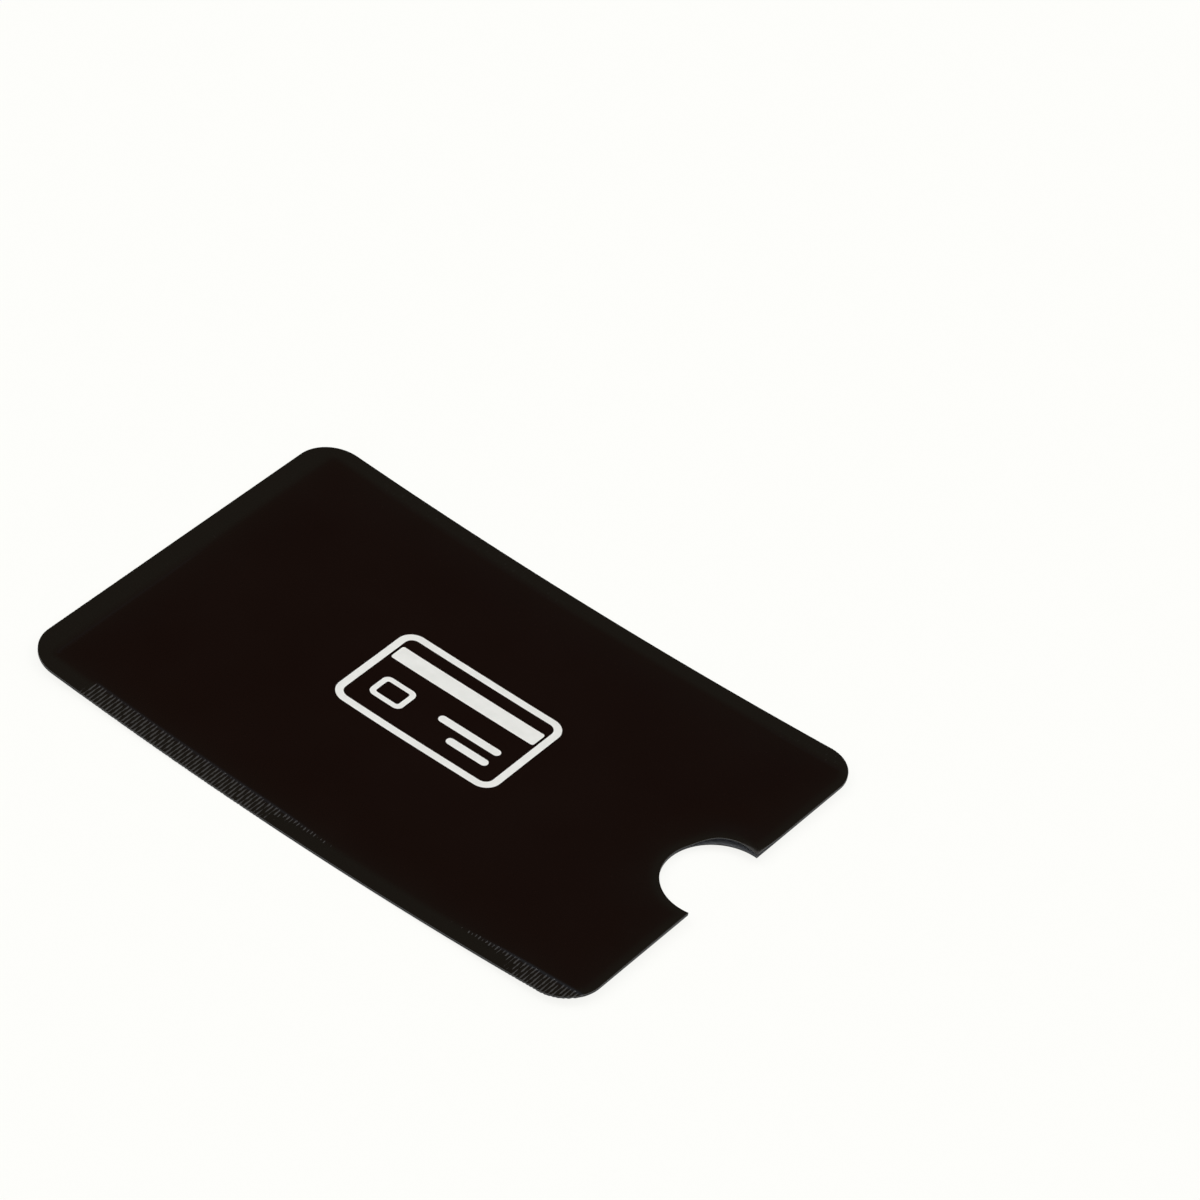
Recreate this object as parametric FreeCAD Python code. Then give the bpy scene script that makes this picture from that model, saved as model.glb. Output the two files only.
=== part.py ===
import FreeCAD, Part
import os

# A heat-sealed foil sleeve for one bank card, lying on its back wall with the printed wall up.
# Two webs, each a face film, a foil and a liner, are welded together along both long sides and
# one short end by ribbed jaws. The other short end is the open mouth, with a thumb notch cut
# through both walls. +X points out of the mouth, +Z out of the printed wall, and the origin is
# under the middle of the sleeve, on the surface it lies on. All sizes are in millimetres.

# Sleeve outline
sleeve_length = 92.0
sleeve_width = 62.0
corner_radius = 5.5

# Thumb notch in the mouth edge
notch_radius = 7.35
notch_centre_inset = 0.95

# Layers of one web, from the outside in
face_film_thickness = 0.06
foil_thickness = 0.02
liner_thickness = 0.12

# The card that the pocket takes, and the room left over it
card_thickness = 0.76
card_slack = 0.14

# Welded margins, the slope from a margin up to the front wall, and the bead along the weld
side_seal_width = 3.0
end_seal_width = 3.8
shoulder_width = 0.8
weld_bead = 0.1

# Ribs that the sealing jaws press across each margin
rib_pitch = 0.55
rib_depth = 0.08

# How far a cutting shape runs past what it cuts
cut_overrun = 1.0

# Levels and edges that follow from the sizes above
web_thickness = face_film_thickness + foil_thickness + liner_thickness
pocket_height = card_thickness + card_slack
seal_thickness = 2 * web_thickness
front_wall_bottom = web_thickness + pocket_height
sleeve_thickness = front_wall_bottom + web_thickness
mouth_x = sleeve_length / 2
edge_y = sleeve_width / 2
seal_inner_x = -mouth_x + end_seal_width
seal_inner_y = edge_y - side_seal_width
panel_x = seal_inner_x + shoulder_width
panel_y = seal_inner_y - shoulder_width

Vector = FreeCAD.Vector


def polygon_prism(points, direction):
    """The solid that a closed run of corner points sweeps along a direction."""
    return Part.Face(Part.makePolygon(points + points[:1])).extrude(direction)


def one_solid(shape):
    """The shape as a single solid, with faces that lie in one plane joined up."""
    return shape.removeSplitter().Solids[0]


def sleeve_outline():
    """A tall block of the die-cut outline: rounded corners, and the notch cut from the mouth."""
    height = sleeve_thickness + 2 * cut_overrun
    low_corner = Vector(-mouth_x, -edge_y, -cut_overrun)
    block = Part.makeBox(sleeve_length, sleeve_width, height, low_corner)
    upright_edges = [edge for edge in block.Edges if edge.BoundBox.ZLength > cut_overrun]
    rounded = block.makeFillet(corner_radius, upright_edges)
    notch_base = Vector(mouth_x - notch_centre_inset, 0, -cut_overrun)
    return rounded.cut(Part.makeCylinder(notch_radius, height, notch_base))


def web_panel(bottom, layers, outline):
    """The flat part of one web over the pocket, as a stack of named layers from the bottom up."""
    panel_length = mouth_x - panel_x
    panels = {}
    for name, thickness in layers:
        plate = Part.makeBox(panel_length, 2 * panel_y, thickness, Vector(panel_x, -panel_y, bottom))
        panels[name] = one_solid(plate.common(outline))
        bottom += thickness
    return panels


def rib_lines(start, stop):
    """Top and bottom lines of a corrugated margin, as lists of distance and height.

    The web keeps one thickness along the ribs, so a valley in the top face is a crest below it.
    What is left over at each end is a flat land of the full thickness.
    """
    rib_count = int((stop - start) / rib_pitch)
    first_crest = start + (stop - start - rib_count * rib_pitch) / 2
    last_crest = first_crest + rib_count * rib_pitch
    top = [(start, seal_thickness)]
    bottom = [(start, 0), (first_crest, 0)]
    for rib in range(rib_count):
        crest = first_crest + rib * rib_pitch
        valley = crest + rib_pitch / 2
        top += [(crest, seal_thickness), (valley, seal_thickness - rib_depth)]
        bottom += [(crest, rib_depth), (valley, 0)]
    top += [(last_crest, seal_thickness), (stop, seal_thickness)]
    bottom += [(last_crest, rib_depth), (last_crest, 0), (stop, 0)]
    return top, bottom


def closed_profile(top, bottom):
    """One loop of points from a top line and a bottom line, with doubled points dropped."""
    loop = top + bottom[::-1]
    return [point for index, point in enumerate(loop) if point != loop[index - 1]]


def shoulder_profile(seal_edge, panel_edge):
    """Section of the two webs where they part: the lower runs on flat, the upper climbs.

    Both lines are given as distances across the margin, and the weld bead fills the crotch.
    """
    crotch = seal_edge + weld_bead * (panel_edge - seal_edge) / shoulder_width
    return [
        (seal_edge, 0),
        (seal_edge, seal_thickness),
        (panel_edge, sleeve_thickness),
        (panel_edge, front_wall_bottom),
        (crotch, web_thickness),
        (panel_edge, web_thickness),
        (panel_edge, 0),
    ]


def plan_block(corners):
    """A tall block over a plan outline, to trim a margin to its own ground."""
    points = [Vector(x, y, -cut_overrun) for x, y in corners]
    return polygon_prism(points, Vector(0, 0, sleeve_thickness + 2 * cut_overrun))


def side_seal(outline):
    """The welded margin along the left side, with its ribs across it and a mitred shoulder."""
    top, bottom = rib_lines(seal_inner_x, mouth_x)
    band_points = [Vector(x, seal_inner_y, z) for x, z in closed_profile(top, bottom)]
    band = polygon_prism(band_points, Vector(0, side_seal_width, 0))
    profile = shoulder_profile(seal_inner_y, panel_y)
    shoulder_points = [Vector(-mouth_x, y, z) for y, z in profile]
    shoulder = polygon_prism(shoulder_points, Vector(sleeve_length, 0, 0))
    ground = plan_block([
        (seal_inner_x, seal_inner_y),
        (panel_x, panel_y),
        (mouth_x, panel_y),
        (mouth_x, edge_y),
        (seal_inner_x, edge_y),
    ])
    return one_solid(band.fuse(shoulder.common(ground)).common(outline))


def end_seal(outline):
    """The welded margin across the closed end, with flat corners where the side jaws crossed it."""
    top, bottom = rib_lines(-seal_inner_y, seal_inner_y)
    top = [(-edge_y, seal_thickness)] + top + [(edge_y, seal_thickness)]
    bottom = [(-edge_y, 0)] + bottom + [(edge_y, 0)]
    band_points = [Vector(-mouth_x, y, z) for y, z in closed_profile(top, bottom)]
    band = polygon_prism(band_points, Vector(end_seal_width, 0, 0))
    profile = shoulder_profile(seal_inner_x, panel_x)
    shoulder_points = [Vector(x, -edge_y, z) for x, z in profile]
    shoulder = polygon_prism(shoulder_points, Vector(0, sleeve_width, 0))
    ground = plan_block([
        (seal_inner_x, -seal_inner_y),
        (panel_x, -panel_y),
        (panel_x, panel_y),
        (seal_inner_x, seal_inner_y),
    ])
    return one_solid(band.fuse(shoulder.common(ground)).common(outline))


def build_sleeve():
    """Every piece of the sleeve by its name."""
    outline = sleeve_outline()
    back_layers = [
        ("back_face_film", face_film_thickness),
        ("back_foil", foil_thickness),
        ("back_liner", liner_thickness),
    ]
    front_layers = [
        ("front_liner", liner_thickness),
        ("front_foil", foil_thickness),
        ("front_face_film", face_film_thickness),
    ]
    left_seal = side_seal(outline)
    pieces = web_panel(0, back_layers, outline)
    pieces.update(web_panel(front_wall_bottom, front_layers, outline))
    pieces["left_side_seal"] = left_seal
    pieces["right_side_seal"] = left_seal.mirror(Vector(0, 0, 0), Vector(0, 1, 0))
    pieces["end_seal"] = end_seal(outline)
    return pieces


os.makedirs("parts", exist_ok=True)
for node, shape in build_sleeve().items():
    shape.exportStep(os.path.join("parts", node + ".step"))
    box = shape.BoundBox
    print(
        f"{node}: valid {shape.isValid()}, {len(shape.Faces)} faces, {shape.Volume:.2f} mm3, "
        f"{box.XLength:.2f} x {box.YLength:.2f} x {box.ZLength:.2f} mm"
    )
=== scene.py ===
# %% [markdown]
# # A foil card sleeve
# A card sleeve like this one starts as two long webs of packing laminate: a black polyester film on
# the outside, aluminium foil behind it to stop radio, and a clear polyethylene liner that melts. The
# webs meet liner to liner, hot ribbed jaws weld them along three sides, and a die cuts the outline and
# the thumb notch through both at once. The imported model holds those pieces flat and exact. This lesson
# dresses them as an empty sleeve that lies on a table: a little curled, a little swollen, with ribs
# that catch the light.

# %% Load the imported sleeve
import math

import bpy
import numpy as np
from mathutils import Matrix, Vector
from mathutils.geometry import delaunay_2d_cdt


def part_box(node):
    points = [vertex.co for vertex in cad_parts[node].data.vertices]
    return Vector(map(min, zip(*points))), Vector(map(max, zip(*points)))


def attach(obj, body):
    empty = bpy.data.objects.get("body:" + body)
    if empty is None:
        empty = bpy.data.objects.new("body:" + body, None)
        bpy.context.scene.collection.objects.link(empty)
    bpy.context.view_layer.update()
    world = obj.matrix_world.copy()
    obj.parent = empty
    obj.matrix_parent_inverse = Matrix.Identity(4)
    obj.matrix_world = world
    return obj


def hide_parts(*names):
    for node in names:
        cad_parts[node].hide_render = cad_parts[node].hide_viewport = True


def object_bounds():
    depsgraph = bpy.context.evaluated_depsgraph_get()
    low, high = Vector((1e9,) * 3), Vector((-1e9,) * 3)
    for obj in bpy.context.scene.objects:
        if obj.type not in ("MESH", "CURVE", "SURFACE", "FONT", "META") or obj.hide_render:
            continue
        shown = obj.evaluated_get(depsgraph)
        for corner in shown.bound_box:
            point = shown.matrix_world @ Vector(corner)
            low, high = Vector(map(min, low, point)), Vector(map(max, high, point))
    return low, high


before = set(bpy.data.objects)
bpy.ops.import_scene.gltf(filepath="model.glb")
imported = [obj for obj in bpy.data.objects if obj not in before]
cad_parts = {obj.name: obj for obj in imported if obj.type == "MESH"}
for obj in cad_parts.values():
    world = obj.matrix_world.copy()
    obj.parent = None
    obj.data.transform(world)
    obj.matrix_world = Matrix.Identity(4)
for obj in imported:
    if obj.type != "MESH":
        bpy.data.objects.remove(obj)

cad_low, cad_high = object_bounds()
print("packed nodes:", ", ".join(sorted(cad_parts)))

# %% [markdown]
# ## Sizes
# The sleeve is drawn in millimetres, because its layers are hundredths of one, and turned to metres
# when a mesh is made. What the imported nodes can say, such as the outside size, the layers and the
# width of the welds, is read from them. The rest repeats the construction's own sizes.

# %% Read the sizes off the frame
MM = 0.001
SHOULDER = 0.8
CORNER_RADIUS = 5.5
NOTCH_RADIUS = 7.35
NOTCH_INSET = 0.95


def span(node):
    """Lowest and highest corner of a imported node, in millimetres."""
    low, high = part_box(node)
    return np.array(low) / MM, np.array(high) / MM


panel_low, panel_high = span("front_face_film")
half_length = cad_high.x / MM
half_width = cad_high.y / MM
film = panel_high[2] - panel_low[2]
web = span("back_liner")[1][2]
pocket = panel_high[2] - 2 * web
side_seal = half_width - panel_high[1] - SHOULDER
end_seal = half_length + panel_low[0] - SHOULDER
notch_x = half_length - NOTCH_INSET
print(f"sleeve {2 * half_length:.1f} x {2 * half_width:.1f} mm, film {film:.2f}, web {web:.2f}, "
      f"pocket {pocket:.2f}, seals {side_seal:.2f} and {end_seal:.2f}")

# %% [markdown]
# ## Where a point lies
# Every wall will be a height field over the flat plan: one number, the height, for each place. Three
# distances decide that height: how far a place is inside the die-cut edge, and how far it is past the
# side welds and the end weld. A rounded rectangle's distance is one short formula, which the printed
# marks will use again.

# %% Distances from the cut edge
def ease(t):
    """A smooth step from 0 to 1."""
    t = np.clip(t, 0, 1)
    return t * t * (3 - 2 * t)


def inside_box(x, y, length, width, radius):
    """How far a place lies inside a rounded rectangle round the origin; negative outside it."""
    over_x = np.abs(x) - length / 2 + radius
    over_y = np.abs(y) - width / 2 + radius
    round_part = np.hypot(np.maximum(over_x, 0), np.maximum(over_y, 0))
    straight_part = np.minimum(np.maximum(over_x, over_y), 0)
    return radius - round_part - straight_part


def outside_notch(x, y):
    """How far a place lies outside the notch."""
    return np.hypot(x - notch_x, y) - NOTCH_RADIUS


def inside_cut(x, y):
    """How far a place lies inside the die-cut outline; negative outside it or in the notch."""
    outline_part = inside_box(x, y, 2 * half_length, 2 * half_width, CORNER_RADIUS)
    return np.minimum(outline_part, outside_notch(x, y))


print(f"from the middle to the nearest cut edge: {inside_cut(0, 0):.1f} mm")

# %% Distances from the welds
WELD_ROUND = 1.2


def smooth_least(a, b, reach):
    """The lesser of two distances, blended where they differ by less than a reach."""
    mix = np.clip(0.5 + (b - a) / (2 * reach), 0, 1)
    return b + (a - b) * mix - reach * mix * (1 - mix)


def past_side_weld(y):
    """How far a place lies inside the nearer side weld; negative on the margin."""
    return half_width - np.abs(y) - side_seal


def past_end_weld(x):
    """How far a place lies inside the end weld; negative on the margin."""
    return x + half_length - end_seal


def into_pocket(x, y):
    """How far a place lies inside both welds, with the corner between them rounded off."""
    return smooth_least(past_side_weld(y), past_end_weld(x), WELD_ROUND)


print(f"from the middle to the nearest weld: {into_pocket(0, 0):.1f} mm")

# %% [markdown]
# ## Curl and swell
# The two faces of a laminate never shrink alike, so a sleeve that has left its pile curls: both short
# ends lift a millimetre or two. Empty, its walls lie together along the welds and at the mouth, and
# stand apart in between like a thin pillow. They have closed round the notch too, but for its left
# flank, where thumbs push and the front wall stands open. Heat leaves small puckers beside the welds
# and long shallow waves over the panel. A gloss film shows all of that in its reflections.

# %% The curl
CURL = 1.799
CURL_LEAN = 0.198


def curl(x, y):
    """Both short ends lift off the table, a little more along the right side than the left."""
    return (CURL - CURL_LEAN * y / half_width) * (x / half_length) ** 2


print(f"lift at the mouth: {curl(half_length, -half_width):.2f} mm on the right, "
      f"{curl(half_length, half_width):.2f} mm on the left")

# %% The gap between the walls
PILLOW_REACH, PILLOW_ROUND = 3.0, 8.0
LIP_REACH, LIP_GAP_SHARE = 7.5, 0.1
NOTCH_REACH = 8.0
FLANK_REACH, FLANK_LIFT_SHARE = 5.5, 0.12
# Angles round the notch's middle, in degrees from straight out of the mouth towards the left side.
FLANK_SHUT, FLANK_OPEN, FLANK_OPEN_TO, FLANK_SHUT_BY = 68.0, 112.0, 120.0, 160.0


def left_flank(x, y):
    """1 on top of the notch's left flank, which thumbs have pushed up, and 0 away from it."""
    around = np.degrees(np.arctan2(y, x - notch_x))
    opens = ease((around - FLANK_SHUT) / (FLANK_OPEN - FLANK_SHUT))
    shuts = ease((FLANK_SHUT_BY - around) / (FLANK_SHUT_BY - FLANK_OPEN_TO))
    return ease(1 - outside_notch(x, y) / FLANK_REACH) * opens * shuts


def shut(x, y):
    """How far the walls have closed at the mouth and round the notch, but for its left flank."""
    lips = ease(1 - (half_length - x) / LIP_REACH)
    rim = ease(1 - outside_notch(x, y) / NOTCH_REACH)
    return (1 - LIP_GAP_SHARE) * (1 - (1 - lips) * (1 - rim)) * (1 - left_flank(x, y))


def pillow(x, y):
    """The gap between the walls: none at the welds, full inside, and nearly shut at the mouth."""
    into = smooth_least(past_side_weld(y), past_end_weld(x), PILLOW_ROUND)
    steps_in = np.maximum(into, 0) / PILLOW_REACH
    rise = 1 - (1 + steps_in) * np.exp(-steps_in)
    return pocket * rise * (1 - shut(x, y) + FLANK_LIFT_SHARE * left_flank(x, y))


flank_x = notch_x + NOTCH_RADIUS * math.cos(math.radians(FLANK_OPEN))
flank_y = NOTCH_RADIUS * math.sin(math.radians(FLANK_OPEN))
print(f"gap: {pillow(0, 0):.2f} mm in the middle, {pillow(flank_x, flank_y):.2f} mm on the notch's left "
      f"flank, {pillow(flank_x, -flank_y):.2f} mm on its right flank")

# %% Puckers and slack
PUCKER_SHARE, PUCKER_LENGTH, PUCKER_REACH = 0.16, 7.3, 2.5
SLACK_SHARE, SLACK_LENGTH = 0.06, 34.0
# Slants are shares of the other axis, and shifts and beat are radians.
TRAIN_SLANT, TRAIN_SHIFT, TRAIN_SHARE = 0.6, 0.7, 0.6
TRAIN_BEAT, WAVES_PER_BEAT = 0.6, 3
CROSSING_RATE, CROSSING_SLANT, CROSSING_SHIFT = 1.4, 0.5, 2.1


def waves(x, y, length):
    """Two crossing trains of waves, between -1 and 1, the first with an uneven beat."""
    turn = 2 * math.pi / length
    beat = TRAIN_BEAT * np.sin(turn * x / WAVES_PER_BEAT)
    train = np.sin(turn * (x + TRAIN_SLANT * y) + TRAIN_SHIFT + beat)
    crossing = np.sin(turn * (CROSSING_RATE * y - CROSSING_SLANT * x) + CROSSING_SHIFT)
    return TRAIN_SHARE * train + (1 - TRAIN_SHARE) * crossing


def swell(x, y):
    """The pillow with its puckers and slack. Both are shares of it, so the walls never cross."""
    near_weld = np.exp(-np.maximum(into_pocket(x, y), 0) / PUCKER_REACH)
    puckers = PUCKER_SHARE * near_weld * waves(x, y, PUCKER_LENGTH)
    slack = SLACK_SHARE * (1 - near_weld) * waves(x, y, SLACK_LENGTH)
    return pillow(x, y) * (1 + puckers + slack)


print(f"gap with slack: {swell(0, 0):.2f} mm in the middle, {swell(25, 10):.2f} mm nearer the mouth")

# %% [markdown]
# ## Ribs
# The jaws press a rib every half millimetre or so across each margin. A bump map would do from far
# off, but these ribs are what the eye finds first, so they are real waves in the mesh: a crest, a
# flank, a valley and a flank for every rib. A long jaw never presses evenly. The side ribs start
# sharply near the closed end and are deep in two stretches. Between those only the heel of the jaw,
# its edge beside the weld, still bites and leaves a row of dots. Worn teeth break each rib into
# dashes. The left and end jaws pressed less than the right one, and the side jaws pressed most at the
# mouth. Where a side jaw and the end jaw both pressed, at the two closed corners, they flatten each
# other. Along the inside of the weld the jaws squeeze out a thin bead. A pale line along the jaws'
# edge is a painted highlight, standing in for the light that this bead catches.

# %% Pressure of the jaws
PRESSURE_LOW, PRESSURE_HIGH = 0.1, 0.9
PRESSURE_START, PRESSURE_RISE = -36.0, 1.5
PRESSURE_PEAK, PRESSURE_LENGTH = -19.3, 70.0
# A jaw is bowed, from 1 at its peak to -1 half a length on: where it first touches, and presses fully.
PRESSURE_FROM, PRESSURE_FULL = -0.05, 0.55
HEEL_PLACE, HEEL_WIDTH, HEEL_SHARE = 0.6, 0.5, 0.8
LEFT_JAW_SHARE, END_JAW_SHARE, MOUTH_JAW_SHARE = 0.28, 0.5, 0.25


def along_jaw(along, past_weld):
    """How hard a jaw presses: fully in two stretches after a sharp start, and between them by its heel."""
    starts = ease((along - PRESSURE_START) / PRESSURE_RISE)
    bow = np.cos(2 * math.pi * np.maximum(along - PRESSURE_PEAK, 0) / PRESSURE_LENGTH)
    heel = HEEL_SHARE * np.exp(-((past_weld + HEEL_PLACE) / HEEL_WIDTH) ** 2)
    touch = starts * ease((bow + heel - PRESSURE_FROM) / (PRESSURE_FULL - PRESSURE_FROM))
    return PRESSURE_LOW + (PRESSURE_HIGH - PRESSURE_LOW) * touch


def jaw_pressures(x, y):
    """How hard the side jaw and the end jaw press at a place, as shares."""
    side_jaw = np.where(np.asarray(y) > 0, LEFT_JAW_SHARE, 1.0) * (1 + MOUTH_JAW_SHARE * x / half_length)
    side = side_jaw * along_jaw(x, past_side_weld(y))
    end = END_JAW_SHARE * along_jaw(y, past_end_weld(x))
    return side, end


jaw_places = (PRESSURE_PEAK, PRESSURE_PEAK + PRESSURE_LENGTH / 2, half_length)
at_peak, between, at_mouth = (float(jaw_pressures(x, -half_width)[0]) for x in jaw_places)
print(f"pressure of the right jaw: {at_peak:.2f} at its peak, {between:.2f} between the stretches, "
      f"{at_mouth:.2f} at the mouth")

# %% Ribs across the margins
RIB_PITCH = 0.55
RIB_DEPTH = 0.08
RIB_FADE = 0.35
CROSSED_SHARE = 0.12
WORN_SHARE, WORN_LENGTH = 0.65, 1.5


def rib_depths(x, y):
    """Depth of the side ribs and of the end ribs at a place."""
    on_side = ease(-past_side_weld(y) / RIB_FADE)
    on_end = ease(-past_end_weld(x) / RIB_FADE)
    side_jaw, end_jaw = jaw_pressures(x, y)
    worn = 1 + WORN_SHARE * waves(x, y, WORN_LENGTH)
    side = on_side * (1 - (1 - CROSSED_SHARE) * on_end) * side_jaw
    end = on_end * (1 - (1 - CROSSED_SHARE) * on_side) * end_jaw
    return RIB_DEPTH * worn * side, RIB_DEPTH * worn * end


def valley(along):
    """0 on the crest of a rib and 1 in the valley beside it."""
    return 0.5 - 0.5 * np.cos(2 * math.pi * along / RIB_PITCH)


print(f"ribs: {2 * half_length / RIB_PITCH:.0f} along each side, {2 * half_width / RIB_PITCH:.0f} "
      f"across the closed end")

# %% Bead and painted bead highlight
BEAD_HEIGHT, BEAD_WIDTH = 0.02, 0.14
# Where the painted bead highlight lies, on the margin side of the weld's inner edge, and how wide it is.
BEAD_HIGHLIGHT_PLACE, BEAD_HIGHLIGHT_WIDTH = 0.2, 0.2


def bead(x, y):
    """The thin ridge of melt along the inside of the weld."""
    return BEAD_HEIGHT * np.exp(-(into_pocket(x, y) / BEAD_WIDTH) ** 2)


def painted_bead_highlight(x, y):
    """How strong the painted highlight for the bead is: most in a line along the margin's inner edge."""
    side_jaw, end_jaw = jaw_pressures(x, y)
    jaw = np.where(past_side_weld(y) < past_end_weld(x), side_jaw, end_jaw)
    return jaw ** 2 * np.exp(-((into_pocket(x, y) + BEAD_HIGHLIGHT_PLACE) / BEAD_HIGHLIGHT_WIDTH) ** 2)


weld_y = half_width - side_seal
# The second share printed is the strength of the painted bead highlight.
print(f"along the side welds: bead {bead(0, weld_y):.2f} mm high, film stretched by a share of "
      f"{painted_bead_highlight(0, weld_y):.2f} on the left and {painted_bead_highlight(0, -weld_y):.2f} on the right")

# %% [markdown]
# ## The faces of the layers
# Counted from the top, the sleeve has six faces: the outside and inside of the front film, the pocket
# side of the front liner, the pocket side of the back liner, and the inside and outside of the back
# film. All are built up from the seam, where the two liners meet, so no layer can cut through another.
# At the rim the die drags the film down a little and rounds its edge.

# %% Six height fields
ROLL_DEPTH, ROLL_WIDTH = 0.022, 0.09


def seam(x, y):
    """The back liner's pocket side, which on the margins is the weld between the two webs."""
    side, end = rib_depths(x, y)
    return web + side * (0.5 - valley(x)) + end * (0.5 - valley(y)) + curl(x, y)


def squeezed_web(x, y):
    """Thickness of one web, less where the jaws pressed it."""
    side, end = rib_depths(x, y)
    return web - (side + end) / 2


def roll(x, y):
    """How far the die dragged the cut edge down. Past the edge itself this soon stops growing."""
    return ROLL_DEPTH * np.exp(-np.maximum(inside_cut(x, y) / ROLL_WIDTH, -1))


def front_pocket_face(x, y):
    return seam(x, y) + swell(x, y)


def front_outside(x, y):
    return front_pocket_face(x, y) + squeezed_web(x, y) + bead(x, y) - roll(x, y)


def front_inside(x, y):
    return front_outside(x, y) - film


def back_outside(x, y):
    """The face that lies on the die's bed, so its edge rolls only half as far, and upwards."""
    return seam(x, y) - squeezed_web(x, y) + roll(x, y) / 2


def back_inside(x, y):
    return back_outside(x, y) + film


layer_faces = (front_outside, front_inside, front_pocket_face, seam, back_inside, back_outside)
print("faces at the middle, mm:", ", ".join(f"{face(0, 0):.2f}" for face in layer_faces))

# %% [markdown]
# ## The die-cut plan
# One plan serves all the layers, as one die cuts them. Its points are closest where the ribs need them,
# along three margins and the rim, and thin out over the smooth panel. The outline is a run of straight
# stretches and arcs, walked once round. A Delaunay triangulation then joins the points whatever their
# spacing, which a plain grid can't do.

# %% Walk the outline
FINE = RIB_PITCH / 4
MOUTH_STEP = 0.4


def arc(centre_x, centre_y, radius, start, stop, step):
    """Points along an arc, its first end included and its last left to the next stretch."""
    count = max(2, round(abs(stop - start) * radius / step))
    angles = start + (stop - start) * np.arange(count) / count
    return np.column_stack([centre_x + radius * np.cos(angles), centre_y + radius * np.sin(angles)])


def line(start, stop, step):
    """Points along a straight stretch, its first end included."""
    start, stop = np.array(start), np.array(stop)
    count = max(1, round(np.linalg.norm(stop - start) / step))
    return start + (stop - start) * (np.arange(count) / count)[:, None]


def die_outline(inset=0.0):
    """The outline, or a loop some way inside it, counter-clockwise from the right side's closed end."""
    core_x, core_y = half_length - CORNER_RADIUS, half_width - CORNER_RADIUS
    edge_x, edge_y, radius = half_length - inset, half_width - inset, CORNER_RADIUS - inset
    notch_radius, lip_x = NOTCH_RADIUS + inset, NOTCH_INSET - inset
    chord = math.sqrt(notch_radius ** 2 - lip_x ** 2)
    lip = math.atan2(chord, lip_x)
    quarter = math.pi / 2
    return np.vstack([
        line((-core_x, -edge_y), (core_x, -edge_y), FINE),
        arc(core_x, -core_y, radius, -quarter, 0, FINE),
        line((edge_x, -core_y), (edge_x, -chord), MOUTH_STEP),
        arc(notch_x, 0, notch_radius, -lip, lip - 4 * quarter, MOUTH_STEP),
        line((edge_x, chord), (edge_x, core_y), MOUTH_STEP),
        arc(core_x, core_y, radius, 0, quarter, FINE),
        line((core_x, edge_y), (-core_x, edge_y), FINE),
        arc(-core_x, core_y, radius, quarter, 2 * quarter, FINE),
        line((-edge_x, core_y), (-edge_x, -core_y), FINE),
        arc(-core_x, -core_y, radius, 2 * quarter, 3 * quarter, FINE),
    ])


outline = die_outline()
print(f"outline: {len(outline)} points")

# %% Fill the plan with points
# Loops just inside the cut, then rows on a margin as shares of its width, then rows past the weld, each
# with its spacing in fine steps.
ROLL_LOOPS = (0.05, 0.15)
MARGIN_SHARES = (0.16, 0.32, 0.48, 0.64, 0.8, 0.88, 0.94, 1.0)
POCKET_ROWS = ((0.12, 1), (0.3, 2), (0.7, 4), (1.2, 4))
PANEL_STEP = 0.6
CUT_CLEAR = 0.24


def lattice(xs, ys):
    """All pairs of two lists of places."""
    grid_x, grid_y = np.meshgrid(xs, ys)
    return np.column_stack([grid_x.ravel(), grid_y.ravel()])


def centred(half, step):
    """Places a step apart on both sides of zero, up to a half span."""
    count = int(half / step)
    return step * np.arange(-count, count + 1)


def margin_rows(side_in, end_in, step):
    """Points along both sides and the closed end, at given distances in from their edges."""
    row, column = half_width - side_in, end_in - half_length
    along_x, along_y = centred(half_length, step), centred(half_width, step)
    sides = lattice(along_x[along_x > column], (-row, row))
    end = lattice([column], along_y[np.abs(along_y) < row])
    return np.vstack([sides, end])


def plan_points():
    """Points inside the outline: rows along the margins and their welds, and an even panel."""
    sets = [margin_rows(side_seal * share, end_seal * share, FINE) for share in MARGIN_SHARES]
    sets += [margin_rows(side_seal + into, end_seal + into, FINE * steps) for into, steps in POCKET_ROWS]
    panel = lattice(centred(half_length, PANEL_STEP), centred(half_width, PANEL_STEP))
    deep = POCKET_ROWS[-1][0] + PANEL_STEP / 2
    sets.append(panel[into_pocket(panel[:, 0], panel[:, 1]) > deep])
    points = np.vstack(sets)
    clear = points[inside_cut(points[:, 0], points[:, 1]) > CUT_CLEAR]
    return np.vstack([clear] + [die_outline(inset) for inset in ROLL_LOOPS])


filling = plan_points()
print(f"filling: {len(filling)} points")

# %% Join the points
# The triangulation covers the points' whole hull, and points as close as this become one.
WHOLE_HULL = 0
SAME_POINT = 1e-7


def triangulate(loops, inner, inside):
    """A plan from its closed loops and inner points: corners, triangles, and each loop's corners."""
    given = [Vector(point) for point in np.vstack(loops + [inner])]
    edges, first = [], 0
    for loop in loops:
        edges += [(first + i, first + (i + 1) % len(loop)) for i in range(len(loop))]
        first += len(loop)
    points, _, faces, origins, _, _ = delaunay_2d_cdt(given, edges, [], WHOLE_HULL, SAME_POINT)
    points, faces = np.array(points), np.array(faces)
    place = {origin: index for index, given_here in enumerate(origins) for origin in given_here}
    middles = points[faces].mean(axis=1)
    kept = faces[inside(middles[:, 0], middles[:, 1]) > 0]
    starts = np.cumsum([0] + [len(loop) for loop in loops])
    rims = [np.array([place[i] for i in range(a, b)]) for a, b in zip(starts, starts[1:])]
    return points, kept, rims


sleeve_plan = triangulate([outline], filling, inside_cut)
print(f"plan: {len(sleeve_plan[0])} points, {len(sleeve_plan[1])} triangles")

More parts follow.
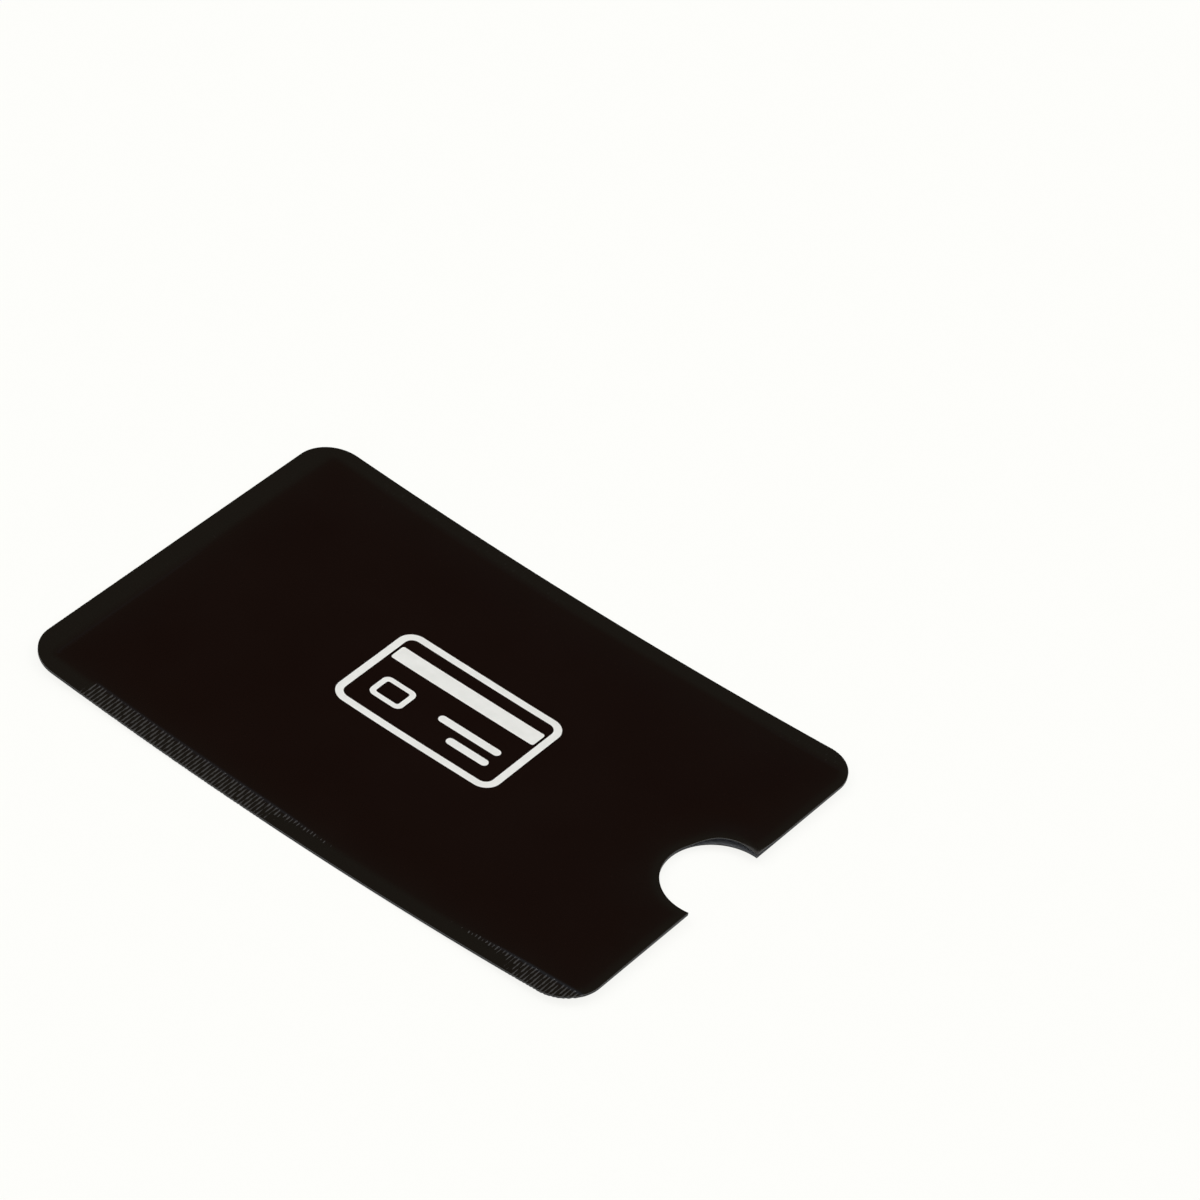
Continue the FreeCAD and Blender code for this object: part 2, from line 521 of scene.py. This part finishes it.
# %% [markdown]
# ## From plan to sheet
# A sheet is the plan raised to two height fields, with a wall along its rim: a closed shell, as a real
# film is. A gloss surface shows every fault in its normals, and a triangulation of mixed spacing has
# many, so the normals are set from the slope of the height field itself.

# %% Normals from the slopes
SLOPE_STEP = 0.012


def slope_normals(field, x, y):
    """Unit normals of a height field, from its slope at each place."""
    dx = (field(x + SLOPE_STEP, y) - field(x - SLOPE_STEP, y)) / (2 * SLOPE_STEP)
    dy = (field(x, y + SLOPE_STEP) - field(x, y - SLOPE_STEP)) / (2 * SLOPE_STEP)
    normals = np.column_stack([-dx, -dy, np.ones_like(dx)])
    return normals / np.linalg.norm(normals, axis=1)[:, None]


def wall_normals(flat, rim):
    """Outward normals for the corners of the wall's faces along one rim."""
    along = flat[np.roll(rim, -1)] - flat[np.roll(rim, 1)]
    outward = np.column_stack([along[:, 1], -along[:, 0], np.zeros(len(along))])
    outward /= np.linalg.norm(outward, axis=1)[:, None]
    ahead = np.roll(outward, -1, axis=0)
    return np.stack([outward, ahead, ahead, outward], axis=1).reshape(-1, 3)


steepest = slope_normals(front_outside, sleeve_plan[0][:, 0], sleeve_plan[0][:, 1])[:, 2].min()
print(f"steepest place of the front film: {math.degrees(math.acos(steepest)):.0f} degrees")

# %% [markdown]
# ## What the finishes need to know
# Four values are stored on the points of each sheet for its finish to read. Weld is 1 on the margins,
# where heat changed the film, and along the cut rim, where it dulls the gloss and paints a highlight.
# Pressed is the depth of the ribs as a share. A pale painted highlight marks the jaws' edge. Foil is 1
# on the face nearer the foil and 0 on the other.

# %% Values for the finishes
HEAT_EDGE, HEAT_BLUR = -0.6, 1.2
HEAT_TAIL_SHARE, HEAT_TAIL = 0.38, 2.2
# Within this reach of the cut rim the weld value is full too: there it dulls the gloss and paints a
# highlight.
RIM_DULL_AND_HIGHLIGHT = 1.6


def heat_and_rim_highlight(x, y):
    """How far the jaws' heat changed the film, fully on the margins and less beyond, with a painted
    highlight along the cut rim.
    """
    beyond = np.minimum(into_pocket(x, y), inside_cut(x, y) - RIM_DULL_AND_HIGHLIGHT) - HEAT_EDGE
    margin = ease(0.5 - beyond / HEAT_BLUR)
    tail = np.exp(-np.maximum(beyond, 0) / HEAT_TAIL)
    return margin * (1 - HEAT_TAIL_SHARE) + tail * HEAT_TAIL_SHARE


def finish_values(x, y, foil_above):
    """The stored values by name, for the upper points of a sheet and then its lower ones."""
    return {
        # Weld: the heat on the margins, and a painted highlight along the cut rim.
        "weld": np.tile(heat_and_rim_highlight(x, y), 2),
        "pressed": np.tile(sum(rib_depths(x, y)) / RIB_DEPTH, 2),
        "painted_bead_highlight": np.tile(painted_bead_highlight(x, y), 2),
        "foil": np.repeat([float(foil_above), float(not foil_above)], len(x)),
    }


print(f"heated by a share of {heat_and_rim_highlight(0, half_width - 1):.2f} on the margin, "
      f"{heat_and_rim_highlight(0, weld_y - 1):.2f} a millimetre inside the weld, {heat_and_rim_highlight(0, 0):.2f} in the middle")

# %% Raise a sheet
def raise_sheet(name, plan, upper, lower, foil_above=True):
    """A closed mesh object between two height fields over a plan. Its cut wall takes material 1."""
    flat, faces, rims = plan
    x, y = flat[:, 0], flat[:, 1]
    count = len(flat)
    points = np.vstack([np.column_stack([x, y, upper(x, y)]), np.column_stack([x, y, lower(x, y)])])
    walls = np.vstack([
        np.column_stack([rim + count, np.roll(rim, -1) + count, np.roll(rim, -1), rim]) for rim in rims
    ])
    polygons = faces.tolist() + (faces[:, ::-1] + count).tolist() + walls.tolist()
    mesh = bpy.data.meshes.new(name)
    mesh.from_pydata((points * MM).tolist(), [], polygons)
    mesh.polygons.foreach_set("use_smooth", [True] * len(polygons))
    mesh.polygons.foreach_set("material_index", [0] * (2 * len(faces)) + [1] * len(walls))
    mesh.normals_split_custom_set(np.vstack([
        slope_normals(upper, x, y)[faces].reshape(-1, 3),
        -slope_normals(lower, x, y)[faces[:, ::-1]].reshape(-1, 3),
        *[wall_normals(flat, rim) for rim in rims],
    ]).tolist())
    for value_name, values in finish_values(x, y, foil_above).items():
        mesh.attributes.new(value_name, "FLOAT", "POINT").data.foreach_set("value", values)
    piece = bpy.data.objects.new(name, mesh)
    bpy.context.scene.collection.objects.link(piece)
    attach(piece, "root")
    print(f"{name}: {len(polygons)} faces, z {points[:, 2].min():.2f} to {points[:, 2].max():.2f} mm")
    return piece


# %% The four sheets of the two webs
front_film = raise_sheet("front_film", sleeve_plan, front_outside, front_inside)
front_core = raise_sheet("front_core", sleeve_plan, front_inside, front_pocket_face)
back_core = raise_sheet("back_core", sleeve_plan, seam, back_inside, foil_above=False)
back_film = raise_sheet("back_film", sleeve_plan, back_inside, back_outside)

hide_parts("front_face_film", "left_side_seal", "right_side_seal", "end_seal")
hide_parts("front_foil", "front_liner")
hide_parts("back_foil", "back_liner")
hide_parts("back_face_film")

# %% [markdown]
# ## The print
# A white mark is printed on the middle of the front wall. This one is a plain picture of a card, with
# its stripe, its chip and two bars. Screen-printed ink stands up from the film by about a hundredth of
# a millimetre, so each mark is a thin sheet of its own that follows the film's height field. A mark is
# a rounded rectangle, with or without a rounded rectangle cut out of it.

# %% Draw the marks
MARK_STEP = 0.8
# Each rectangle is the x and y of its middle, its length, its width and the radius of its corners.
CARD = (0, 0, 27.0, 17.0, 2.4)
CARD_HOLE = (0, 0, 24.8, 14.8, 1.3)
STRIPE = (0, 3.95, 24.0, 2.7, 0.3)
CHIP = (-7.3, -2.6, 5.4, 4.3, 1.0)
CHIP_HOLE = (-7.3, -2.6, 3.8, 2.7, 0.35)
LONG_BAR = (5.0, -1.8, 10.2, 1.25, 0.6)
SHORT_BAR = (6.7, -4.4, 6.8, 1.25, 0.6)
MARKS = ((CARD, CARD_HOLE), (STRIPE, None), (CHIP, CHIP_HOLE), (LONG_BAR, None), (SHORT_BAR, None))


def box_loop(box, step):
    """Points round a rounded rectangle, counter-clockwise."""
    x, y, length, width, radius = box
    quarter = math.pi / 2
    reach = np.array((length / 2 - radius, width / 2 - radius))
    corners = [np.array((x, y)) + reach * side for side in ((1, -1), (1, 1), (-1, 1), (-1, -1))]
    stretches = []
    for turn, corner in enumerate(corners):
        stop = turn * quarter
        out = radius * np.array((math.cos(stop), math.sin(stop)))
        stretches.append(arc(*corner, radius, stop - quarter, stop, step / 4))
        stretches.append(line(corner + out, corners[(turn + 1) % 4] + out, step))
    return np.vstack(stretches)


mark_loops = []
for outer, hole in MARKS:
    mark_loops.append(box_loop(outer, MARK_STEP))
    if hole:
        mark_loops.append(box_loop(hole, MARK_STEP)[::-1])
print(f"print: {len(mark_loops)} loops, {sum(len(loop) for loop in mark_loops)} points")

# %% Lay the ink on the film
MARK_X, MARK_Y = 0.3, 0.8
INK = 0.012
INK_BED = 0.004


def inside_marks(x, y):
    """Positive where ink lies."""
    best = np.full(np.shape(x), -1.0)
    for outer, hole in MARKS:
        here = inside_box(x - outer[0], y - outer[1], *outer[2:])
        if hole:
            here = np.minimum(here, -inside_box(x - hole[0], y - hole[1], *hole[2:]))
        best = np.maximum(best, here)
    return best


def ink_top(x, y):
    return front_outside(x, y) + INK


def ink_bottom(x, y):
    return front_outside(x, y) - INK_BED


ink_points = lattice(centred(CARD[2] / 2, MARK_STEP), centred(CARD[3] / 2, MARK_STEP))
ink_points = ink_points[inside_marks(ink_points[:, 0], ink_points[:, 1]) > MARK_STEP / 4]
mark_points, mark_faces, mark_rims = triangulate(mark_loops, ink_points, inside_marks)
mark_plan = (mark_points + (MARK_X, MARK_Y), mark_faces, mark_rims)
print_mark = raise_sheet("print_mark", mark_plan, ink_top, ink_bottom)

# %% [markdown]
# ## How a finish is written
# A finish here is a Principled shader. What is the same all over the surface is set on the shader's
# own sockets, and what changes from place to place reaches it through nodes. Colours are written as
# they look on a screen, in hex, and turned to the linear light that a renderer counts in. Each
# pattern takes its scale from a size in millimetres, because the sleeve's own coordinates are metres.
# A Mix node has sockets of the same names for numbers and for colours, so those go by their place.

# %% Helpers for finishes
MIX_FACTOR, MIX_A, MIX_B, MIX_COLOUR_A, MIX_COLOUR_B = 0, 2, 3, 6, 7
MIXED, MIXED_COLOUR = 0, 2
# A noise node's values hardly leave this range.
NOISE_RANGE = {"From Min": 0.3, "From Max": 0.7}


def linear(hex_colour):
    """An sRGB hex colour as linear red, green, blue and alpha."""
    channels = [int(hex_colour[i:i + 2], 16) / 255 for i in (1, 3, 5)]
    return [c / 12.92 if c <= 0.04045 else ((c + 0.055) / 1.055) ** 2.4 for c in channels] + [1.0]


def add_node(tree, kind, values=None, links=None, **options):
    """Add a node: values go to its sockets, links feed them, and options are the node's own settings."""
    made = tree.nodes.new("ShaderNode" + kind)
    for option, value in options.items():
        setattr(made, option, value)
    for socket, value in (values or {}).items():
        made.inputs[socket].default_value = value
    for socket, source in (links or {}).items():
        tree.links.new(source, made.inputs[socket])
    return made


def start_finish(name, values):
    """A new material, its node tree and its shader, with the values that are the same all over."""
    material = bpy.data.materials.new(name)
    material.use_nodes = True
    shader = material.node_tree.nodes["Principled BSDF"]
    for socket, value in values.items():
        shader.inputs[socket].default_value = value
    return material, material.node_tree, shader


def per_metre(size):
    """The scale of a noise whose marks are a given size in millimetres."""
    return 1 / (size * MM)


print("a mid grey, #808080, as linear light:", [round(channel, 3) for channel in linear("#808080")])

# %% [markdown]
# ## Black polyester film
# The outside is drawn polyester (PET) film, printed black on its inner side before it was laminated.
# So the eye looks through a clear, nearly mirror-smooth face at an even, slightly warm black: the
# colour is deep, and most of what one sees is the room. The ink is a touch thinner in places, handling
# leaves a faint haze, and casting leaves a fine orange peel that makes reflections tremble. On the
# welds, heat turns the black a little greyer and duller, and where the jaws pressed hard their own
# grain is stamped in. The same greyer colour along the cut rim is a painted highlight, and a pale
# bluish line along the jaws' edge is a painted highlight for the bead.

# %% Black film, printed on its inner side
def black_polyester_film():
    material, tree, shader = start_finish("black_polyester_film", {"IOR": 1.57})
    place = add_node(tree, "TexCoord").outputs["Object"]
    weld = add_node(tree, "Attribute", attribute_name="weld").outputs["Fac"]
    pressed = add_node(tree, "Attribute", attribute_name="pressed").outputs["Fac"]
    bead_highlight = add_node(tree, "Attribute", attribute_name="painted_bead_highlight").outputs["Fac"]
    ink = add_node(tree, "TexNoise", {"Scale": per_metre(14), "Detail": 2}, {"Vector": place})
    panel = add_node(
        tree, "Mix", {MIX_COLOUR_A: linear("#110502"), MIX_COLOUR_B: linear("#150a06")},
        {MIX_FACTOR: ink.outputs[0]}, data_type="RGBA",
    )
    # The heat's greyer colour on the margins; along the cut rim the same lighter colour is a painted
    # highlight.
    scorched_and_rim_highlight = add_node(
        tree, "Mix", {MIX_COLOUR_B: linear("#17130e")},
        {MIX_FACTOR: weld, MIX_COLOUR_A: panel.outputs[MIXED_COLOUR]}, data_type="RGBA",
    )
    # Painted highlight: a pale bluish grey line along the jaws' edge stands in for the light on the bead.
    colour = add_node(
        tree, "Mix", {MIX_COLOUR_B: linear("#1f1f21")},
        {MIX_FACTOR: bead_highlight, MIX_COLOUR_A: scorched_and_rim_highlight.outputs[MIXED_COLOUR]}, data_type="RGBA",
    )
    haze = add_node(tree, "TexNoise", {"Scale": per_metre(3.5), "Detail": 4}, {"Vector": place})
    gloss = add_node(
        tree, "MapRange", {**NOISE_RANGE, "To Min": 0.05, "To Max": 0.1}, {"Value": haze.outputs[0]}
    )
    dulled = add_node(tree, "Mix", {MIX_B: 0.14}, {MIX_FACTOR: weld, MIX_A: gloss.outputs[0]})
    peel = add_node(tree, "TexNoise", {"Scale": per_metre(0.5), "Detail": 2}, {"Vector": place})
    stamped = add_node(tree, "MapRange", {"To Min": 0.04, "To Max": 1.0}, {"Value": pressed})
    bump = add_node(
        tree, "Bump", {"Distance": 0.035 * MM},
        {"Strength": stamped.outputs[0], "Height": peel.outputs[0]},
    )
    tree.links.new(colour.outputs[MIXED_COLOUR], shader.inputs["Base Color"])
    tree.links.new(dulled.outputs[MIXED], shader.inputs["Roughness"])
    tree.links.new(bump.outputs[0], shader.inputs["Normal"])
    return material


film_finish = black_polyester_film()
print(film_finish.name, len(film_finish.node_tree.nodes), "nodes")

# %% [markdown]
# ## Aluminium foil under a clear liner
# Inside the pocket one sees the shield: rolled aluminium foil, its dull side up, through a clear skin of
# polyethylene. Rolling leaves fine streaks along the web and folding leaves soft creases, while the
# liner adds a second, waxy gloss on top. That is what a coat is for: metal below, plastic above. The
# liner is never quite clear, and the light that it scatters is the small share that isn't metal.

# %% Foil with a clear coat
def foil_under_clear_liner():
    material, tree, shader = start_finish(
        "foil_under_clear_liner",
        {"Metallic": 0.85, "Coat Weight": 1.0, "Coat Roughness": 0.2, "Coat IOR": 1.51},
    )
    place = add_node(tree, "TexCoord").outputs["Object"]
    along_web = add_node(tree, "Mapping", {"Scale": (0.04, 1, 1)}, {"Vector": place}).outputs[0]
    streaks = add_node(tree, "TexNoise", {"Scale": per_metre(0.35), "Detail": 3}, {"Vector": along_web})
    colour = add_node(
        tree, "Mix", {MIX_COLOUR_A: linear("#a3a6ac"), MIX_COLOUR_B: linear("#b9bcc1")},
        {MIX_FACTOR: streaks.outputs[0]}, data_type="RGBA",
    )
    dullness = add_node(
        tree, "MapRange", {**NOISE_RANGE, "To Min": 0.3, "To Max": 0.42}, {"Value": streaks.outputs[0]}
    )
    creases = add_node(tree, "TexNoise", {"Scale": per_metre(2.6), "Detail": 3}, {"Vector": place})
    bump = add_node(tree, "Bump", {"Strength": 1.0, "Distance": 0.02 * MM}, {"Height": creases.outputs[0]})
    tree.links.new(colour.outputs[MIXED_COLOUR], shader.inputs["Base Color"])
    tree.links.new(dullness.outputs[0], shader.inputs["Roughness"])
    tree.links.new(bump.outputs[0], shader.inputs["Normal"])
    return material


foil_finish = foil_under_clear_liner()
print(foil_finish.name, len(foil_finish.node_tree.nodes), "nodes")

# %% [markdown]
# ## The cut edge of the laminate
# A die shears all the layers at once, so the rim shows them in section: a hairline of foil beside
# the film, then the liner, which shears ragged. Both are painted darker than bare foil and liner, a
# painted shade on this thin edge: the foil a mid grey and the liner a dark grey. The attribute foil,
# 1 on the foil's side and 0 on the pocket side, tells the finish where it is between the two. A
# ragged edge shades its own pits, so it shines only half as much as smooth plastic would.

# %% Sheared foil and liner, with painted shade
FOIL_SHARE = 0.14


def sheared_edge_painted_shade():
    material, tree, shader = start_finish(
        "sheared_edge_painted_shade", {"Roughness": 0.7, "IOR": 1.51, "Specular IOR Level": 0.25}
    )
    place = add_node(tree, "TexCoord").outputs["Object"]
    foil = add_node(tree, "Attribute", attribute_name="foil").outputs["Fac"]
    ragged = add_node(tree, "TexNoise", {"Scale": per_metre(0.3), "Detail": 3}, {"Vector": place})
    # Painted shade: the sheared liner is painted a dark grey.
    liner = add_node(
        tree, "Mix", {MIX_COLOUR_A: linear("#242526"), MIX_COLOUR_B: linear("#343536")},
        {MIX_FACTOR: ragged.outputs[0]}, data_type="RGBA",
    )
    bright = add_node(tree, "Math", {1: 1 - FOIL_SHARE}, {0: foil}, operation="GREATER_THAN")
    # Painted shade: the foil's hairline is painted a mid grey.
    colour = add_node(
        tree, "Mix", {MIX_COLOUR_B: linear("#5a5c5e")},
        {MIX_FACTOR: bright.outputs[0], MIX_COLOUR_A: liner.outputs[MIXED_COLOUR]}, data_type="RGBA",
    )
    tree.links.new(colour.outputs[MIXED_COLOUR], shader.inputs["Base Color"])
    return material


edge_finish = sheared_edge_painted_shade()
print(edge_finish.name, len(edge_finish.node_tree.nodes), "nodes")

# %% [markdown]
# ## White screen-printed ink
# The mark is a white vinyl ink, pressed through a mesh. It covers well but never quite evenly: the
# mesh leaves a fine grain, and its tone drifts a little from place to place. Dry vinyl ink is satin,
# duller than the film round it, so the mark keeps its white where the film mirrors the room.

# %% White ink
def screen_printed_ink():
    material, tree, shader = start_finish("screen_printed_ink", {"IOR": 1.5})
    place = add_node(tree, "TexCoord").outputs["Object"]
    cover = add_node(tree, "TexNoise", {"Scale": per_metre(1.6), "Detail": 4}, {"Vector": place})
    colour = add_node(
        tree, "Mix", {MIX_COLOUR_A: linear("#e0e0db"), MIX_COLOUR_B: linear("#efefeb")},
        {MIX_FACTOR: cover.outputs[0]}, data_type="RGBA",
    )
    grain = add_node(tree, "TexNoise", {"Scale": per_metre(0.25), "Detail": 1}, {"Vector": place})
    satin = add_node(
        tree, "MapRange", {**NOISE_RANGE, "To Min": 0.4, "To Max": 0.55}, {"Value": grain.outputs[0]}
    )
    bump = add_node(tree, "Bump", {"Strength": 1.0, "Distance": 0.004 * MM}, {"Height": grain.outputs[0]})
    tree.links.new(colour.outputs[MIXED_COLOUR], shader.inputs["Base Color"])
    tree.links.new(satin.outputs[0], shader.inputs["Roughness"])
    tree.links.new(bump.outputs[0], shader.inputs["Normal"])
    return material


ink_finish = screen_printed_ink()
print(ink_finish.name, len(ink_finish.node_tree.nodes), "nodes")

# %% [markdown]
# ## Dressing
# Each sheet takes two finishes, one for its faces and one for its cut wall. The film is the same right
# through, so its wall is film too, while the foil and liner show the sheared edge there.

# %% Dress the pieces
for piece, face, wall, slot in (
    (front_film, film_finish, film_finish, "face_film"),
    (front_core, foil_finish, edge_finish, "liner"),
    (back_core, foil_finish, edge_finish, "liner"),
    (back_film, film_finish, film_finish, "face_film"),
    (print_mark, ink_finish, ink_finish, "print_ink"),
):
    piece.data.materials.append(face)
    piece.data.materials.append(wall)
    print(f"{piece.name}: {face.name} in slot {slot}")

# %% [markdown]
# ## The floor
# The sleeve lies on a plain white table that runs out of the picture. Lit white card would do, but the
# shadow of a thing this flat should stay a breath, so the floor that the camera and reflections see is
# mostly its own even white, and the rest is lit card that keeps the shadow.

# %% White card
FLOOR_WHITE = "#fefefb"
FLOOR_LIT_SHARE = 0.12


def white_card_table():
    material, tree, shader = start_finish("white_card_table", {"Roughness": 0.9})
    place = add_node(tree, "TexCoord").outputs["Object"]
    fibres = add_node(tree, "TexNoise", {"Scale": per_metre(6), "Detail": 3}, {"Vector": place})
    colour = add_node(
        tree, "Mix", {MIX_COLOUR_A: linear("#f9f9f6"), MIX_COLOUR_B: linear(FLOOR_WHITE)},
        {MIX_FACTOR: fibres.outputs[0]}, data_type="RGBA",
    )
    tree.links.new(colour.outputs[MIXED_COLOUR], shader.inputs["Base Color"])
    rays = add_node(tree, "LightPath").outputs
    mirrored = add_node(
        tree, "Math", links={0: rays["Is Glossy Ray"], 1: rays["Is Transmission Ray"]}, operation="MAXIMUM"
    )
    seen = add_node(
        tree, "Math", links={0: rays["Is Camera Ray"], 1: mirrored.outputs[0]}, operation="MAXIMUM"
    )
    even = add_node(tree, "Math", {1: 1 - FLOOR_LIT_SHARE}, {0: seen.outputs[0]}, operation="MULTIPLY")
    white = add_node(tree, "Emission", {"Color": linear(FLOOR_WHITE), "Strength": 1.0})
    blend = add_node(
        tree, "MixShader", links={0: even.outputs[0], 1: shader.outputs[0], 2: white.outputs[0]}
    )
    tree.links.new(blend.outputs[0], tree.nodes["Material Output"].inputs["Surface"])
    return material


card_finish = white_card_table()
print(card_finish.name, len(card_finish.node_tree.nodes), "nodes")

# %% Lay the table
FLOOR_HALF = 4.0
FLOOR_DROP = 0.02

floor_mesh = bpy.data.meshes.new("floor")
floor_corners = [(-1, -1), (1, -1), (1, 1), (-1, 1)]
floor_points = [(FLOOR_HALF * x, FLOOR_HALF * y, -FLOOR_DROP * MM) for x, y in floor_corners]
floor_mesh.from_pydata(floor_points, [], [(0, 1, 2, 3)])
floor_mesh.materials.append(card_finish)
floor = bpy.data.objects.new("floor", floor_mesh)
bpy.context.scene.collection.objects.link(floor)
print(f"floor: {2 * FLOOR_HALF:.0f} m across, {FLOOR_DROP} mm under the sleeve")

# %% [markdown]
# ## Light
# A gloss black film shows the room more than itself, so the lamps are placed by what the film would
# mirror. Behind the sleeve, where the camera's line of sight bounces to, the room is dim, and the film
# stays black. Two large soft lamps in front light the print and the table. A third, behind on the
# right, stands just outside the flat film's reflection: only the flanks of the ribs are tilted enough
# to catch it, so they light up as fine lines. The room is brighter in front, which gives the film a
# soft sheen when it is seen from behind.

# %% The room
ROOM_DIM, ROOM_BRIGHT = 0.03, 0.32
ROOM_BEARING = 20


def bearing(azimuth, elevation):
    """Unit vector from the sleeve towards a bearing; azimuth 0 is off its right side, 90 off its mouth."""
    a, e = math.radians(azimuth), math.radians(elevation)
    return Vector((math.sin(a) * math.cos(e), -math.cos(a) * math.cos(e), math.sin(e)))


world = bpy.data.worlds.new("studio_room")
bpy.context.scene.world = world
world.use_nodes = True
room = world.node_tree
direction = add_node(room, "TexCoord").outputs["Generated"]
facing = add_node(
    room, "VectorMath", {1: bearing(ROOM_BEARING, 0)}, {0: direction}, operation="DOT_PRODUCT"
)
level = add_node(
    room, "MapRange", {"From Min": 0.0, "From Max": 1.0, "To Min": ROOM_DIM, "To Max": ROOM_BRIGHT},
    {"Value": facing.outputs["Value"]}, interpolation_type="SMOOTHSTEP",
)
backdrop = room.nodes["Background"]
backdrop.inputs["Color"].default_value = (1, 1, 1, 1)
room.links.new(level.outputs[0], backdrop.inputs["Strength"])
print(f"room: {ROOM_DIM} behind the sleeve, {ROOM_BRIGHT} in front of it")

# %% Soft lamps
for name, azimuth, elevation, strength, spread in (
    ("left_softbox", -15, 60, 1.55, 46),
    ("right_softbox", 70, 60, 1.3, 46),
    ("rib_softbox", 148, 54, 0.5, 54),
):
    lamp = bpy.data.lights.new(name, "SUN")
    lamp.energy = strength
    lamp.angle = math.radians(spread)
    holder = bpy.data.objects.new(name, lamp)
    holder.rotation_euler = bearing(azimuth, elevation).to_track_quat("Z", "Y").to_euler()
    bpy.context.scene.collection.objects.link(holder)
    print(f"{name}: azimuth {azimuth}, elevation {elevation}, {spread} degrees across")

# %% [markdown]
# ## Camera
# A long lens from above the mouth's right corner. Its place was found by fitting the sleeve's outline:
# two bearings, a small roll, a distance and the point on the table that it looks at, off the sleeve's
# left side, so that the sleeve lies low in the picture.

# %% Camera at the picture's angle
FOCAL_PIXELS = 5681.49
PICTURE_PIXELS = 1200
SENSOR = 36.0
VIEW_AZIMUTH, VIEW_ELEVATION, VIEW_ROLL = 31.973, 41.327, 9.190
VIEW_DISTANCE = 761.7
LOOK_AT = (0.145, 33.477, 0.0)

back = bearing(VIEW_AZIMUTH, VIEW_ELEVATION)
level_right = bearing(VIEW_AZIMUTH + 90, 0)
upright = back.cross(level_right)
roll_angle = math.radians(VIEW_ROLL)
right = math.cos(roll_angle) * level_right + math.sin(roll_angle) * upright
up = math.cos(roll_angle) * upright - math.sin(roll_angle) * level_right
pose = Matrix((right, up, back)).transposed().to_4x4()
pose.translation = (Vector(LOOK_AT) + back * VIEW_DISTANCE) * MM

camera_data = bpy.data.cameras.new("long_lens")
camera_data.sensor_width = SENSOR
camera_data.lens = FOCAL_PIXELS / PICTURE_PIXELS * SENSOR
camera_data.clip_start = 0.01
camera = bpy.data.objects.new("long_lens", camera_data)
camera.matrix_world = pose
bpy.context.scene.collection.objects.link(camera)
bpy.context.scene.camera = camera
bpy.context.scene.view_settings.view_transform = "Standard"
print(f"camera: {camera_data.lens:.1f} mm lens, {VIEW_DISTANCE:.0f} mm away")
